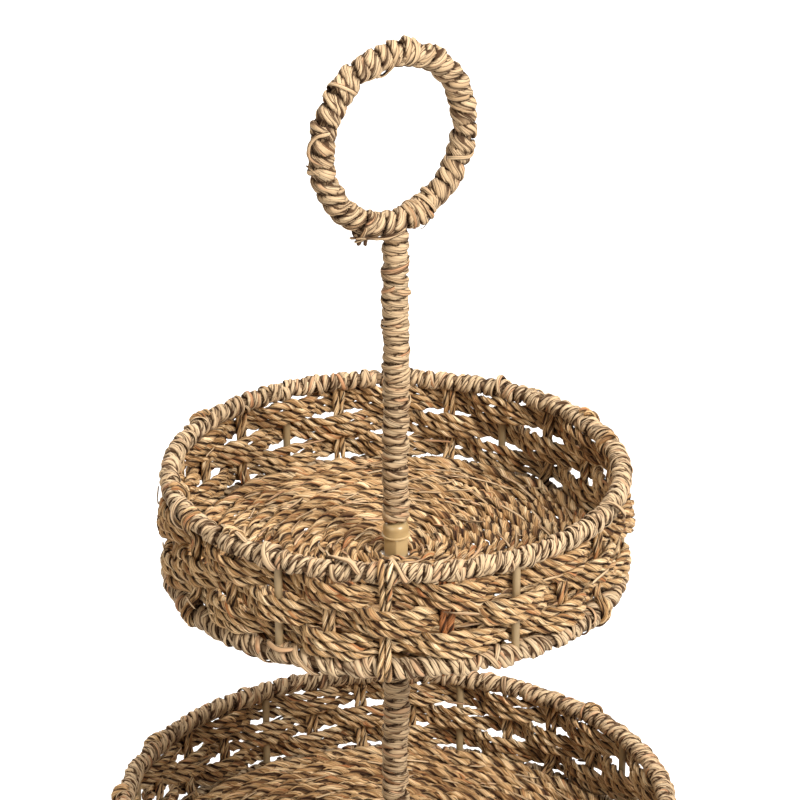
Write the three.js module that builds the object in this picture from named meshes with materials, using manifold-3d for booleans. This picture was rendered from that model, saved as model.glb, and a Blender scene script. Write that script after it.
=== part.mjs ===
// Two-tier tray stand with a ring handle: welded steel wire frames, woven and wrapped in seagrass.
// Millimetres, +Z up. The origin is the centre of the lower tray's base, on the table.
// The ring handle lies in the XZ plane.

import * as THREE from 'three';
import { mergeVertices } from 'three/addons/utils/BufferGeometryUtils.js';
import Module from 'manifold-3d';

const GAP = 0.3; // between pieces that touch
const MAT_GAP = 0.5; // round the nut, where the floor's rows begin

// Steel wire frames of the two trays
const WIRE = 5; // diameter of the rim rings, base rings and uprights
const SPOKE = 3.6; // diameter of the spokes under a floor
const UPPER_RADIUS = 147; // centre line of the rim ring
const LOWER_RADIUS = 184;
const UPPER_RODS = 6; // steel uprights
const LOWER_RODS = 8;
const STAKES_PER_ROD = 4; // one steel upright, then three seagrass stays
const UPPER_TURN = 23; // where the first upright stands, in degrees from +X
const LOWER_TURN = 38;

// Seagrass
const RIM_WRAP = 12; // diameter over the wrapped rim
const BASE_WRAP = 15;
const ROPE = 6.2; // diameter of a wall rope
const ROPE_RISE = 5.2; // from one rope of a band to the next
const ROPES_PER_BAND = 3;
const BANDS = 3;
const BAND_GAP = 0.5;
const STAY_WIDTH = 10; // two cords side by side
const STAY_THICKNESS = 5;
const STRAIGHT_PAST_STAKE = 1; // how far beyond a stake its ropes still run straight
const MAT_THICKNESS = 8; // rows of cord lying over the spokes

// Hardware on the post
const POST = 9; // rod diameter
const LOWER_POST_LENGTH = 228.8;
const UPPER_POST_LENGTH = 216;
const STUD = 8; // thread diameter
const HUB_DIAMETER = 20; // plate in the middle of a floor
const HUB_THICKNESS = 3;
const WASHER_DIAMETER = 18;
const WASHER_THICKNESS = 1.2;
const NUT_ACROSS_FLATS = 15.4;
const NUT_LENGTH = 15;
const NUT_TURN = -6; // where a corner of it points, in degrees from +X
const FERRULE_DIAMETER = 18.8; // over the flange
const FERRULE_HEIGHT = 10;
const FLANGE_HEIGHT = 1.4;
const FLANGE_REACH = 0.8; // how far the flange stands out past the dome
const COLLAR_DIAMETER = 18;
const COLLAR_HEIGHT = 8;
const BOLT_HEAD_DIAMETER = 13;
const BOLT_HEAD_THICKNESS = 2.4;

// Handle
const HANDLE_RADIUS = 55.5; // centre line of the ring
const HANDLE_WIRE = 8;

// Cord wound round the post and the handle
const POST_CORD = 3.6; // thickness over the rod
const POST_TURNS = 24;
const HANDLE_CORD = 2.6;
const HANDLE_CORD_SEAT = 0.8; // room for flat turns on a bent wire
const HANDLE_TURNS = 24;
const TURN_GAP = 0.6; // between one turn and the next

// Faces
const TURN_STEPS = 8; // of one turn of cord
const WIRE_SIDES = 6;
const ROD_SIDES = 6;
const WRAP_SIDES = 8;
const SLEEVE_SIDES = 4; // of the hollow that a wrapped wire lies in
const NUT_SIDES = 6;
const HARDWARE_SIDES = 12;
const DOME_STEPS = 3;
const HANDLE_SEGMENTS = 24;

const SEAGRASS = { color: 0xc9a877, roughness: 0.85, metalness: 0 };
const ROPE_FINISH = { color: 0xbd9560, roughness: 0.85, metalness: 0 };
const PAINTED_STEEL = { color: 0xbfa878, roughness: 0.45, metalness: 0 };

const library = await Module();
library.setup();

const stand = new THREE.Group();

function addPiece(name, geometry, finish) {
  const mesh = new THREE.Mesh(geometry, new THREE.MeshStandardMaterial(finish));
  mesh.name = name;
  stand.add(mesh);
}

// Solids that are cut or joined

const WELD = 1e-4;

function solidOf(geometry) {
  const bare = geometry.index ? geometry.toNonIndexed() : geometry.clone();
  bare.deleteAttribute('normal');
  bare.deleteAttribute('uv');
  const welded = mergeVertices(bare, WELD);
  return new library.Manifold(new library.Mesh({
    numProp: 3,
    vertProperties: welded.attributes.position.array,
    triVerts: new Uint32Array(welded.index.array),
  }));
}

function joined(geometries) {
  return geometries.map(solidOf).reduce((whole, solid) => whole.add(solid));
}

function geometryOf(solid) {
  const mesh = solid.getMesh();
  const geometry = new THREE.BufferGeometry();
  geometry.setAttribute('position', new THREE.BufferAttribute(mesh.vertProperties, 3));
  geometry.setIndex(new THREE.BufferAttribute(mesh.triVerts, 1));
  geometry.computeVertexNormals();
  return geometry;
}

// Closed outlines, counter-clockwise, as [across, up]. A round one has a flat underneath.

// How far a round section's corners reach when its flats are at the radius
function cornerReach(radius, sides) {
  return radius / Math.cos(Math.PI / sides);
}

function roundOutline(sides, radius) {
  const reach = cornerReach(radius, sides);
  return Array.from({ length: sides }, (_, i) => {
    const angle = (2 * Math.PI * (i + 0.5)) / sides - Math.PI / 2;
    return [reach * Math.cos(angle), reach * Math.sin(angle)];
  });
}

function boxOutline(inner, outer, low, high) {
  return [[inner, low], [outer, low], [outer, high], [inner, high]];
}

function lathe(profile, segments) {
  const points = profile.map(([across, up]) => new THREE.Vector2(across, up));
  return new THREE.LatheGeometry(points, segments).rotateX(Math.PI / 2);
}

// A ring round the Z axis, with a corner at its turn from +X
function ring(outline, radius, height, segments, turn = 0) {
  const profile = [...outline, outline[0]].map(([across, up]) => [radius + across, height + up]);
  return lathe(profile, segments).rotateZ(THREE.MathUtils.degToRad(turn) + Math.PI / 2);
}

// An upright rod, then moved out from the axis
function upright(radius, low, high, angle, distance, sides = ROD_SIDES) {
  return new THREE.CylinderGeometry(radius, radius, high - low, sides)
    .rotateX(Math.PI / 2)
    .rotateZ(angle)
    .translate(distance * Math.cos(angle), distance * Math.sin(angle), (low + high) / 2);
}

function spoke(diameter, angle, inner, outer, height) {
  return new THREE.CylinderGeometry(diameter / 2, diameter / 2, outer - inner, ROD_SIDES)
    .rotateZ(-Math.PI / 2)
    .translate((inner + outer) / 2, 0, 0)
    .rotateZ(angle)
    .translate(0, 0, height);
}

// Skins rows of points, each row one section of the piece
function skin(rows, closed) {
  const count = rows[0].length;
  const faces = [];
  const last = closed ? rows.length : rows.length - 1;
  for (let i = 0; i < last; i++) {
    const here = i * count;
    const next = ((i + 1) % rows.length) * count;
    for (let j = 0; j < count; j++) {
      const k = (j + 1) % count;
      faces.push(here + j, next + j, here + k, here + k, next + j, next + k);
    }
  }
  if (!closed) {
    const end = last * count;
    for (let j = 1; j < count - 1; j++) {
      faces.push(0, j, j + 1);
      faces.push(end, end + j + 1, end + j);
    }
  }
  const geometry = new THREE.BufferGeometry();
  geometry.setAttribute('position', new THREE.Float32BufferAttribute(rows.flat(2), 3));
  geometry.setIndex(faces);
  geometry.computeVertexNormals();
  return geometry;
}

// Wound cord

// A wound cord's section, flat on what it grips: [away from it, share of the half width]
function cordOutline(thickness) {
  const half = thickness / 2;
  const shoulder = half / 3;
  return [[-half, -1], [shoulder, -1], [half, 0], [shoulder, 1], [-half, 1]];
}

// Where a cord's middle runs, so that the flats of its turns clear a round core
function windingRadius(core, clearance, thickness) {
  return cornerReach(core + clearance + thickness / 2, TURN_STEPS);
}

// The least distance between the corners of one turn and of the next
function leastTurnGap(rows) {
  const spots = rows.map((row) => row.map((spot) => new THREE.Vector3(...spot)));
  let least = Infinity;
  for (let i = 0; i + TURN_STEPS < spots.length; i++) {
    for (const near of spots.slice(i + TURN_STEPS - 1, i + TURN_STEPS + 2)) {
      for (const a of spots[i]) {
        for (const b of near) least = Math.min(least, a.distanceTo(b));
      }
    }
  }
  return least;
}

function addWinding(name, rows) {
  console.log(`${name}: least gap between turns ${leastTurnGap(rows).toFixed(2)} mm`);
  addPiece(name, skin(rows, false), SEAGRASS);
}

// Rows of a winding of so many turns, where place(along, round, away) gives a point
function windingRows(turns, thickness, rise, halfWidth, start, place) {
  return Array.from({ length: turns * TURN_STEPS + 1 }, (_, i) => {
    const round = (2 * Math.PI * i) / TURN_STEPS;
    const along = start + rise / 2 + (rise * i) / TURN_STEPS;
    return cordOutline(thickness).map(([away, side]) => place(along + side * halfWidth, round, away));
  });
}

// Cord wound up the post from one height to another
function addPostWrap(name, low, high) {
  const rise = (high - low) / (POST_TURNS + 1);
  const radius = windingRadius(POST / 2, GAP, POST_CORD);
  const rows = windingRows(POST_TURNS, POST_CORD, rise, (rise - TURN_GAP) / 2, low, (z, round, away) =>
    [(radius + away) * Math.cos(round), (radius + away) * Math.sin(round), z]);
  addWinding(name, rows);
}

// Cord wound round the handle's ring, leaving it bare where the post meets it
function addHandleWrap(name, centre) {
  const bare = (POST / 2 + TURN_GAP) / (HANDLE_RADIUS - HANDLE_WIRE);
  const rise = (2 * Math.PI - 2 * bare) / (HANDLE_TURNS + 1);
  const radius = windingRadius(HANDLE_WIRE / 2, HANDLE_CORD_SEAT, HANDLE_CORD);
  const slit = TURN_GAP / (HANDLE_RADIUS - radius - HANDLE_CORD / 2);
  const start = bare - Math.PI / 2;
  const rows = windingRows(HANDLE_TURNS, HANDLE_CORD, rise, (rise - slit) / 2, start,
    (angle, round, away) => {
      const distance = HANDLE_RADIUS + (radius + away) * Math.cos(round);
      const y = (radius + away) * Math.sin(round);
      return [distance * Math.cos(angle), y, centre + distance * Math.sin(angle)];
    });
  addWinding(name, rows);
}

// Trays

const bandHeight = (ROPES_PER_BAND - 1) * ROPE_RISE + ROPE;
const wallHeight = BASE_WRAP / 2 + BANDS * bandHeight + (BANDS + 1) * BAND_GAP + RIM_WRAP / 2;
const wireReach = cornerReach(WIRE / 2, WIRE_SIDES);
const wireTop = WIRE / 2 + GAP;

// How far the middle of a rope runs from the stakes' centre line
const ropeOffset = Math.max(WIRE, STAY_THICKNESS) / 2 + GAP + ROPE / 2;

// The sizes of one tray. Its rim ring, base ring and stakes share one radius.
function trayOf(name, radius, rods, turn, floor) {
  const stakes = rods * STAKES_PER_ROD;
  const stakeAngle = (k) => THREE.MathUtils.degToRad(turn) + (2 * Math.PI * k) / stakes;
  return {
    name,
    radius,
    stakes,
    stakeAngle,
    rodAngles: Array.from({ length: rods }, (_, i) => stakeAngle(i * STAKES_PER_ROD)),
    turn,
    floor,
    rim: floor + wallHeight,
  };
}

function addWireFrame({ name, radius, stakes, rodAngles, turn, floor, rim }) {
  const wire = roundOutline(WIRE_SIDES, WIRE / 2);
  addPiece(`${name}_rim_ring`, ring(wire, radius, rim, stakes, turn), PAINTED_STEEL);
  addPiece(`${name}_base_ring`, ring(wire, radius, floor, stakes, turn), PAINTED_STEEL);
  rodAngles.forEach((angle, i) => {
    const rod = upright(WIRE / 2, floor + wireTop, rim - wireTop, angle, radius);
    addPiece(`${name}_upright_${i + 1}`, rod, PAINTED_STEEL);
  });
}

// What the wrapping leaves open for the uprights
function rodHoles({ radius, rodAngles, floor, rim }) {
  const reach = cornerReach(WIRE / 2 + GAP, ROD_SIDES);
  return joined(rodAngles.map((angle) => upright(reach, floor, rim, angle, radius)));
}

// What the base wrapping leaves open for the spokes
function spokeHoles({ radius, rodAngles, floor }) {
  const diameter = cornerReach(SPOKE + 2 * GAP, ROD_SIDES);
  return joined(rodAngles.map((angle) => spoke(diameter, angle, radius - BASE_WRAP, radius, floor)));
}

// Hub plate with its welded spokes
function addFloorSpider({ name, radius, rodAngles, turn, floor }) {
  const bore = STUD / 2 + GAP;
  const hub = boxOutline(bore, HUB_DIAMETER / 2, -HUB_THICKNESS / 2, HUB_THICKNESS / 2);
  const root = (bore + HUB_DIAMETER / 2) / 2;
  const spokes = rodAngles.map((angle) =>
    spoke(SPOKE, angle, root, radius - wireReach - GAP, floor));
  const spider = joined([ring(hub, 0, floor, HARDWARE_SIDES, turn), ...spokes]);
  addPiece(`${name}_floor_spider`, geometryOf(spider), PAINTED_STEEL);
}

// Rows of cord from the nut out to the wall's innermost rope
function addFloorMat({ name, radius, stakes, turn, floor }) {
  const hole = Math.max(WASHER_DIAMETER / 2, cornerReach(NUT_ACROSS_FLATS / 2, NUT_SIDES)) + MAT_GAP;
  const edge = radius - Math.max(ropeOffset + ROPE / 2, BASE_WRAP / 2) - GAP;
  const foot = Math.max(SPOKE, HUB_THICKNESS) / 2 + GAP;
  const outline = boxOutline(hole, edge, foot, foot + MAT_THICKNESS);
  addPiece(`${name}_floor_mat`, ring(outline, 0, floor, stakes, turn), ROPE_FINISH);
}

// Wrapping round a ring of wire, before it is opened for what joins the ring
function sleeve(diameter, radius, height, { stakes, turn }) {
  const outside = ring(roundOutline(WRAP_SIDES, diameter / 2), radius, height, stakes, turn);
  const inside = ring(roundOutline(SLEEVE_SIDES, wireReach + GAP), radius, height, stakes, turn);
  return solidOf(outside).subtract(solidOf(inside));
}

function addBaseWrap(tray) {
  const wrap = sleeve(BASE_WRAP, tray.radius, tray.floor, tray)
    .subtract(spokeHoles(tray))
    .subtract(rodHoles(tray));
  addPiece(`${tray.name}_base_wrap`, geometryOf(wrap), SEAGRASS);
}

// Rim wrapping, with the doubled cords that hang from it between the steel uprights
function addRimWrap(tray) {
  const foot = tray.floor + BASE_WRAP / 2 + GAP;
  const top = tray.rim - (RIM_WRAP / 2 + wireReach + GAP) / 2;
  const stays = [];
  for (let k = 0; k < tray.stakes; k++) {
    if (k % STAKES_PER_ROD === 0) continue;
    const angle = tray.stakeAngle(k);
    stays.push(new THREE.BoxGeometry(STAY_THICKNESS, STAY_WIDTH, top - foot)
      .translate(0, 0, (foot + top) / 2)
      .rotateZ(angle)
      .translate(tray.radius * Math.cos(angle), tray.radius * Math.sin(angle), 0));
  }
  const wrap = sleeve(RIM_WRAP, tray.radius, tray.rim, tray).subtract(rodHoles(tray)).add(joined(stays));
  addPiece(`${tray.name}_rim_wrap`, geometryOf(wrap), SEAGRASS);
}

// Three ropes that pass outside one stake and inside the next, as one closed band
function addRopeBand(tray, number, middle, firstSide) {
  const thick = ROPE / 2;
  const high = bandHeight / 2;
  const outline = [
    [0, -high], [thick, thick - high], [thick, high - thick],
    [0, high], [-thick, high - thick], [-thick, thick - high],
  ];
  const flat = (Math.max(STAY_WIDTH, WIRE) / 2 + STRAIGHT_PAST_STAKE) / tray.radius;
  const rows = [];
  for (let k = 0; k < tray.stakes; k++) {
    const side = k % 2 === 0 ? firstSide : -firstSide;
    const distance = tray.radius + side * ropeOffset;
    for (const angle of [tray.stakeAngle(k) - flat, tray.stakeAngle(k) + flat]) {
      rows.push(outline.map(([across, up]) => {
        const reach = (distance + across) / Math.cos(flat);
        return [reach * Math.cos(angle), reach * Math.sin(angle), middle + up];
      }));
    }
  }
  addPiece(`${tray.name}_rope_band_${number}`, skin(rows, true), ROPE_FINISH);
}

// Bands are numbered from the top. Each passes the stakes on the other side from its neighbours.
function addWall(tray, topSide) {
  const top = tray.rim - RIM_WRAP / 2 - BAND_GAP - bandHeight / 2;
  for (let band = 0; band < BANDS; band++) {
    const middle = top - band * (bandHeight + BAND_GAP);
    addRopeBand(tray, band + 1, middle, band % 2 === 0 ? topSide : -topSide);
  }
}

function addTray(tray, topSide) {
  addWireFrame(tray);
  addFloorSpider(tray);
  addFloorMat(tray);
  addBaseWrap(tray);
  addRimWrap(tray);
  addWall(tray, topSide);
}

// Hardware on the post

function addWasher(name, bottom) {
  const outline = boxOutline(STUD / 2 + GAP, WASHER_DIAMETER / 2, 0, WASHER_THICKNESS);
  addPiece(name, ring(outline, 0, bottom, HARDWARE_SIDES), PAINTED_STEEL);
}

function addCouplingNut(name, bottom) {
  const reach = cornerReach(NUT_ACROSS_FLATS / 2, NUT_SIDES);
  const corners = Array.from({ length: NUT_SIDES }, (_, i) => {
    const angle = THREE.MathUtils.degToRad(NUT_TURN) + (2 * Math.PI * i) / NUT_SIDES;
    return new THREE.Vector2(reach * Math.cos(angle), reach * Math.sin(angle));
  });
  const hexagon = new THREE.Shape(corners);
  hexagon.holes.push(new THREE.Path().absarc(0, 0, STUD / 2 + GAP, 0, 2 * Math.PI, true));
  const options = { depth: NUT_LENGTH, bevelEnabled: false, curveSegments: HARDWARE_SIDES };
  addPiece(name, new THREE.ExtrudeGeometry(hexagon, options).translate(0, 0, bottom), PAINTED_STEEL);
}

// A domed cover with a flange at its foot. Its crown is as wide as the flats of the cord above.
function addFerrule(name, bottom) {
  const inner = POST / 2 + GAP;
  const flange = FERRULE_DIAMETER / 2;
  const dome = flange - FLANGE_REACH;
  const crown = POST / 2 + GAP + POST_CORD / 2;
  const rise = FERRULE_HEIGHT - FLANGE_HEIGHT;
  const curve = Array.from({ length: DOME_STEPS + 1 }, (_, i) => {
    const angle = (i * Math.PI) / (2 * DOME_STEPS);
    return [crown + (dome - crown) * Math.cos(angle), FLANGE_HEIGHT + rise * Math.sin(angle)];
  });
  const outline = [
    [inner, 0], [flange, 0], [flange, FLANGE_HEIGHT], ...curve, [inner, FERRULE_HEIGHT],
  ];
  addPiece(name, ring(outline, 0, bottom, HARDWARE_SIDES), PAINTED_STEEL);
}

function addCollar(name, bottom) {
  const outline = boxOutline(POST / 2 + GAP, COLLAR_DIAMETER / 2, 0, COLLAR_HEIGHT);
  addPiece(name, ring(outline, 0, bottom, HARDWARE_SIDES), PAINTED_STEEL);
}

// A rod turned down to a stud below, and above too where it goes through a floor
function addPost(name, low, high, studBelow, studAbove) {
  const rod = [[0, low - studBelow], [STUD / 2, low - studBelow], [STUD / 2, low], [POST / 2, low],
    [POST / 2, high]];
  const top = studAbove > 0 ? [[STUD / 2, high], [STUD / 2, high + studAbove]] : [];
  addPiece(name, lathe([...rod, ...top, [0, high + studAbove]], HARDWARE_SIDES), PAINTED_STEEL);
}

function addBolt(name, headTop, shankTop) {
  const headFoot = headTop - BOLT_HEAD_THICKNESS;
  const head = BOLT_HEAD_DIAMETER / 2;
  const profile = [[0, headFoot], [head, headFoot], [head, headTop], [STUD / 2, headTop],
    [STUD / 2, shankTop], [0, shankTop]];
  addPiece(name, lathe(profile, HARDWARE_SIDES), PAINTED_STEEL);
}

// Heights, from the table up

const halfHub = HUB_THICKNESS / 2;
const washerSeat = GAP + WASHER_THICKNESS + GAP;
const studInNut = NUT_LENGTH / 2 - GAP;

const lowerFloor = BASE_WRAP / 2;
const lowerNut = lowerFloor + halfHub + washerSeat;
const lowerPostLow = lowerNut + NUT_LENGTH + GAP;
const lowerPostHigh = lowerPostLow + LOWER_POST_LENGTH;
const upperFloor = lowerPostHigh + washerSeat + halfHub;
const upperNut = upperFloor + halfHub + washerSeat;
const upperPostLow = upperNut + NUT_LENGTH + GAP;
const upperPostHigh = upperPostLow + UPPER_POST_LENGTH;
const handleCentre = upperPostHigh + GAP + cornerReach(HANDLE_WIRE / 2, WIRE_SIDES) + HANDLE_RADIUS;
const handleWrapReach = windingRadius(HANDLE_WIRE / 2, HANDLE_CORD_SEAT, HANDLE_CORD) + HANDLE_CORD / 2;

// Lower tray, bolted to the post from below
addTray(trayOf('lower', LOWER_RADIUS, LOWER_RODS, LOWER_TURN, lowerFloor), 1);
addBolt('base_bolt', lowerFloor - halfHub - washerSeat, lowerNut + studInNut);
addWasher('lower_under_washer', lowerFloor - halfHub - GAP - WASHER_THICKNESS);
addWasher('lower_hub_washer', lowerFloor + halfHub + GAP);
addCouplingNut('lower_coupling_nut', lowerNut);
addFerrule('lower_ferrule', lowerPostLow);

// Lower post, whose top stud goes through the upper tray's hub plate into its nut
addPost('lower_post', lowerPostLow, lowerPostHigh, studInNut, upperNut + studInNut - lowerPostHigh);
addCollar('lower_post_collar', lowerPostHigh - COLLAR_HEIGHT);
addPostWrap('lower_post_wrap', lowerPostLow + FERRULE_HEIGHT + GAP, lowerPostHigh - COLLAR_HEIGHT - GAP);

// Upper tray
addTray(trayOf('upper', UPPER_RADIUS, UPPER_RODS, UPPER_TURN, upperFloor), -1);
addWasher('upper_under_washer', lowerPostHigh + GAP);
addWasher('upper_hub_washer', upperFloor + halfHub + GAP);
addCouplingNut('upper_coupling_nut', upperNut);
addFerrule('upper_ferrule', upperPostLow);

// Upper post and handle
addPost('upper_post', upperPostLow, upperPostHigh, studInNut, 0);
addPostWrap('upper_post_wrap', upperPostLow + FERRULE_HEIGHT + GAP,
  handleCentre - HANDLE_RADIUS - handleWrapReach - GAP);
const handle = ring(roundOutline(WIRE_SIDES, HANDLE_WIRE / 2), HANDLE_RADIUS, 0, HANDLE_SEGMENTS)
  .rotateX(Math.PI / 2)
  .translate(0, 0, handleCentre);
addPiece('handle_ring', handle, PAINTED_STEEL);
addHandleWrap('handle_ring_wrap', handleCentre);

export default stand;
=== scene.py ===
"""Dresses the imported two-tier seagrass tray stand: laid rope, wound cord, floor rows and painted frame."""

import math
from dataclasses import dataclass
from typing import Callable

import bmesh
import bpy
import numpy as np
from mathutils import Matrix, Vector


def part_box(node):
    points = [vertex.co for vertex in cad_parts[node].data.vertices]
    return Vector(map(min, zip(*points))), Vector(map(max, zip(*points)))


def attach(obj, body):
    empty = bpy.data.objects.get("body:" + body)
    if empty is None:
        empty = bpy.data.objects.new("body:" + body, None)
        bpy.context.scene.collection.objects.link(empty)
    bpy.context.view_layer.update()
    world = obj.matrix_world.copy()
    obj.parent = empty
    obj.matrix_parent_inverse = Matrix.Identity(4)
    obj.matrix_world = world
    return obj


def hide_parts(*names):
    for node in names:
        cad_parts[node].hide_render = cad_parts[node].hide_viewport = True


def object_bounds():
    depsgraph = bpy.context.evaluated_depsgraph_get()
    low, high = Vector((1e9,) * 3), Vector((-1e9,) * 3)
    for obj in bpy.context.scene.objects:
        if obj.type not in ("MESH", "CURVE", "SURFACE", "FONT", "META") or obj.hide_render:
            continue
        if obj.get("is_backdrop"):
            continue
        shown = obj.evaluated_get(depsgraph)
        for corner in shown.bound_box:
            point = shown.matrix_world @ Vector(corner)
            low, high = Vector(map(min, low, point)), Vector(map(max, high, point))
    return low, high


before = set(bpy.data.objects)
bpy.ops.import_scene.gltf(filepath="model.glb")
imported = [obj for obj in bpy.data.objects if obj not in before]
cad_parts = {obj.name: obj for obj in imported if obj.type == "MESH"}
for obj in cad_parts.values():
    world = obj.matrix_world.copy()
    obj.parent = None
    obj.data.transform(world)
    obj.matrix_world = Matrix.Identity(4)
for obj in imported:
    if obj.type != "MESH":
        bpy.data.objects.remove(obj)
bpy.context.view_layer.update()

# Sizes, in metres

MM = 0.001
TURN = 2 * math.pi
WIRE = 5 * MM                   # rings and uprights
POST = 9 * MM
POST_FIT = 0.2 * MM             # between the post and a turned part round it
TABLE_GAP = 0.2 * MM            # nothing hangs lower than this over the table
ROPE = 7.3 * MM                 # wall rope, over both plies
ROPE_LAY = 21 * MM              # length of one full turn of its plies
ROPE_RISE = 5.7 * MM            # from one rope of a band to the next
ROPE_STEP = 2.1 * MM            # from one ring of points to the next along it, as in the other steps
ROPES_PER_BAND = 3
BANDS = (1, 2, 3)
SWING = 5.3 * MM                # rope's middle to the line of stakes
SWING_SNAP = 1.5                # how suddenly a rope changes sides between two stakes
FLOOR_CORD = 7.7 * MM
FLOOR_LAY = 34 * MM
FLOOR_PITCH = 5.2 * MM
FLOOR_RISE = 5.9 * MM           # middle of the floor rows over the base ring
FLOOR_WAVE = 1.5 * MM
FLOOR_STEP = 2.3 * MM
EDGE_STEP = 1.9 * MM
HUB_HOLE = 9.5 * MM
FULL_STAKES = 48 * MM           # radius inside which the floor has only half of the stakes
INNER_SHARE = 0.66              # share of the floor's radius that its inner piece takes
STAY_CORD = 4.8 * MM
STAY_LAY = 27 * MM
STAY_SPREAD = 2.4 * MM          # each cord of a stay to the middle of the pair
STAY_STEP = 1.7 * MM
BED_STEP = 4 * MM
STAKES_PER_ROD = 4
UPPER_ROD_TURN = math.radians(23)
LOWER_ROD_TURN = math.radians(38)
HANDLE_ASIDE = 1.5 * MM         # how far left of its wire the ring's winding sits
HANDLE_DENT = 2.2 * MM          # how far it is pulled in at the ring's upper right
HANDLE_DENT_AT = math.radians(66)
HANDLE_DENT_SPAN = 0.75
UNDER_RING = 6.5 * MM           # top of the post's winding under the ring's middle line
BLADE_LAY = 0.4                 # a single blade hardly twists
BED_LAY = 0.5
BLADE_THICK = 1.3 * MM
SLIVER_THICK = 1.0 * MM
EDGE_SHADE = 0.2                # how squarely a pressed strand's surface faces out where the painted shade on its edge starts
EDGE_FADE = 2                   # how fast that painted shade comes from there on
EDGE_DARK = 0.95
POINT = 0.01                    # share of a strand's thickness left at its closed end
SMOOTH_STEPS = 10               # points that a smooth path gets between two given ones
LATHE_STEPS = 56
TINY = 1e-9

# A strand's unevenness: how much, where that is the same for all, and its shortest and longest waves
LUMPS = (7 * MM, 30 * MM)
SWELLS = (12 * MM, 60 * MM)
TONE_DRIFT = (0.11, 16 * MM, 90 * MM)
RED_DRIFT = (0.13, 30 * MM, 120 * MM)


# Places taken from the frame

@dataclass
class Tray:
    """Where one tray's rings, rods and ropes are."""
    name: str
    rods: int
    first_rod: float
    top_side: int               # 1 where the top band passes outside the first rod, -1 where it passes inside

    def __post_init__(self):
        low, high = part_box(f"{self.name}_rim_ring")
        self.radius = (high.x - low.x - WIRE) / 2
        self.rim = (high.z + low.z) / 2
        low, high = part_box(f"{self.name}_base_ring")
        self.base = (high.z + low.z) / 2
        low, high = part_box(f"{self.name}_floor_mat")
        self.floor_edge = (high.x - low.x) / 2
        self.stakes = self.rods * STAKES_PER_ROD

    def stake_angle(self, number):
        return self.first_rod + number * TURN / self.stakes

    def weave(self, angles, stakes):
        """How far through its weave a strand is: half a turn from each of that many stakes to the next."""
        return (angles - self.first_rod) * stakes / 2


TRAYS = [
    Tray("upper", rods=6, first_rod=UPPER_ROD_TURN, top_side=-1),
    Tray("lower", rods=8, first_rod=LOWER_ROD_TURN, top_side=1),
]


# Finishes

@dataclass
class Coat:
    """A finished material, and the slot of the record that it belongs to, which is not used."""
    material: bpy.types.Material
    slot: str


def joined(name, mesh, coat, nodes):
    """Puts a finished mesh in the scene as the piece that stands for these nodes."""
    piece = bpy.data.objects.new(name, mesh)
    bpy.context.scene.collection.objects.link(piece)
    mesh.materials.clear()
    mesh.materials.append(coat.material)
    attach(piece, "root")
    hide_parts(*nodes)


class Nodes:
    """A node tree under construction, with short calls for its nodes."""

    def __init__(self, tree):
        self.tree = tree

    def feed(self, socket, value):
        if isinstance(value, bpy.types.NodeSocket):
            self.tree.links.new(value, socket)
        else:
            socket.default_value = value

    def fill(self, node, inputs):
        for key, value in inputs.items():
            self.feed(node.inputs[key.replace("_", " ")], value)

    def node(self, kind, settings=None, **inputs):
        made = self.tree.nodes.new(kind)
        for key, value in (settings or {}).items():
            setattr(made, key, value)
        self.fill(made, inputs)
        return made

    def calc(self, operation, *values, kind="ShaderNodeMath"):
        made = self.node(kind, {"operation": operation})
        for socket, value in zip(made.inputs, values):
            self.feed(socket, value)
        return made.outputs[0]

    def sum(self, first, second, share=1.0):
        """first plus second times share."""
        return self.calc("MULTIPLY_ADD", second, share, first)

    def grade(self, source, stops):
        """A colour ramp over source with these (position, colour or grey) stops."""
        ramp = self.node("ShaderNodeValToRGB", Fac=source)
        elements = ramp.color_ramp.elements
        while len(elements) < len(stops):
            elements.new(0.5)
        for element, (position, colour) in zip(elements, stops):
            element.position = position
            element.color = (*(colour if isinstance(colour, tuple) else (colour,) * 3), 1)
        return ramp.outputs["Color"]

    def mixed(self, share, first, second):
        """The colour first, with second over it where share is 1."""
        made = self.node("ShaderNodeMix", {"data_type": "RGBA", "blend_type": "MIX"})
        for socket, value in zip((made.inputs[0], made.inputs[6], made.inputs[7]), (share, first, second)):
            self.feed(socket, value)
        return made.outputs[2]

    def seen_rays(self):
        """1 where the eye sees a thing itself, in a gloss or through it, and 0 for the light it sends on."""
        rays = self.node("ShaderNodeLightPath").outputs
        seen = self.calc("MAXIMUM", rays["Is Camera Ray"], rays["Is Glossy Ray"])
        return self.calc("MAXIMUM", seen, rays["Is Transmission Ray"])


class Finish(Nodes):
    """A material under construction."""

    def __init__(self, name):
        self.material = bpy.data.materials.new(name)
        self.material.use_nodes = True
        super().__init__(self.material.node_tree)
        self.shader = self.tree.nodes["Principled BSDF"]

    def paint(self, **inputs):
        self.fill(self.shader, inputs)

    def stretched(self, place, across, along):
        """A strand's own place with these many units to the metre across and along it."""
        return self.node("ShaderNodeMapping", Vector=place, Scale=(across, along, 1)).outputs[0]

    def streaked(self, place, across, along):
        """Noise from 0 to 1, drawn out along the strand."""
        return self.node("ShaderNodeTexNoise", Vector=self.stretched(place, across, along), Scale=1.0,
                         Detail=3.0, Roughness=0.6).outputs["Fac"]

    def trait(self, name):
        """A value that each point of the piece carries."""
        return self.node("ShaderNodeAttribute", {"attribute_name": name}).outputs["Fac"]


FINE_BLADES = (560, 36)         # blades to the metre of a strand's surface, across and along it
WIDE_BLADES = (240, 14)
BLADE_SWAY = 0.0034             # how far blades wander off a straight line along the strand
BROAD_STREAKS = 0.45            # how much the slow changes of tone along a strand count
RED_SHARE = 0.8                 # most of its red that a red blade shows
FULL_SHADE_CREASE = 0.93              # depth of crease at which the painted shade is full


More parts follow.
